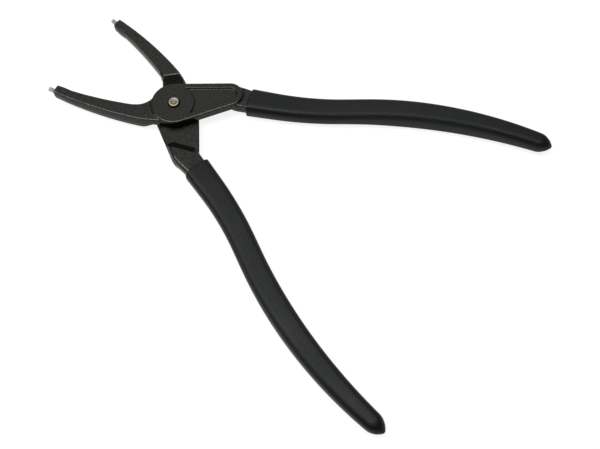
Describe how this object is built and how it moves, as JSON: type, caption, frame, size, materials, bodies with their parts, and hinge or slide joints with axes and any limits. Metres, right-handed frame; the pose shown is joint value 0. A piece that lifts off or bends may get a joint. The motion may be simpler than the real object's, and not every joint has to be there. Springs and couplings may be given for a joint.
{
  "type": "circlip pliers",
  "caption": "Large straight-nosed pliers for internal retaining rings: two blackened forged levers lapped on a rivet, with round steel tip pins and long dipped black grips.",
  "frame": {"origin": "on the pivot axis, in the plane of the joint's flat back (rear plate and flush rivet head)", "axes": "+X along the tool's middle line towards the jaw tips, +Z along the pivot towards the rivet's raised front end, +Y completes the right-handed set towards the front lever's jaw"},
  "size_m": [0.2902, 0.2148, 0.0136],
  "materials": {
    "forged_steel": "blackened drop-forged steel, semi-matte, with brighter worn edges",
    "dipped_grip": "soft black dipped plastic, fine matte grain",
    "pin_steel": "ground hardened steel wire",
    "rivet_steel": "turned, warm-tinted bright steel"
  },
  "bodies": {
    "rear_half": {"rear_lever": "forged_steel", "rear_grip": "dipped_grip", "rear_tip_pin": "pin_steel", "pivot_rivet": "rivet_steel"},
    "front_half": {"front_lever": "forged_steel", "front_grip": "dipped_grip", "front_tip_pin": "pin_steel"}
  },
  "joints": [
    {"name": "jaw_pivot", "type": "hinge", "parent": "rear_half", "child": "front_half", "pos_m": [0, 0, 0.0055], "axis": [0, 0, 1], "range_deg": [-42, 13]}
  ]
}
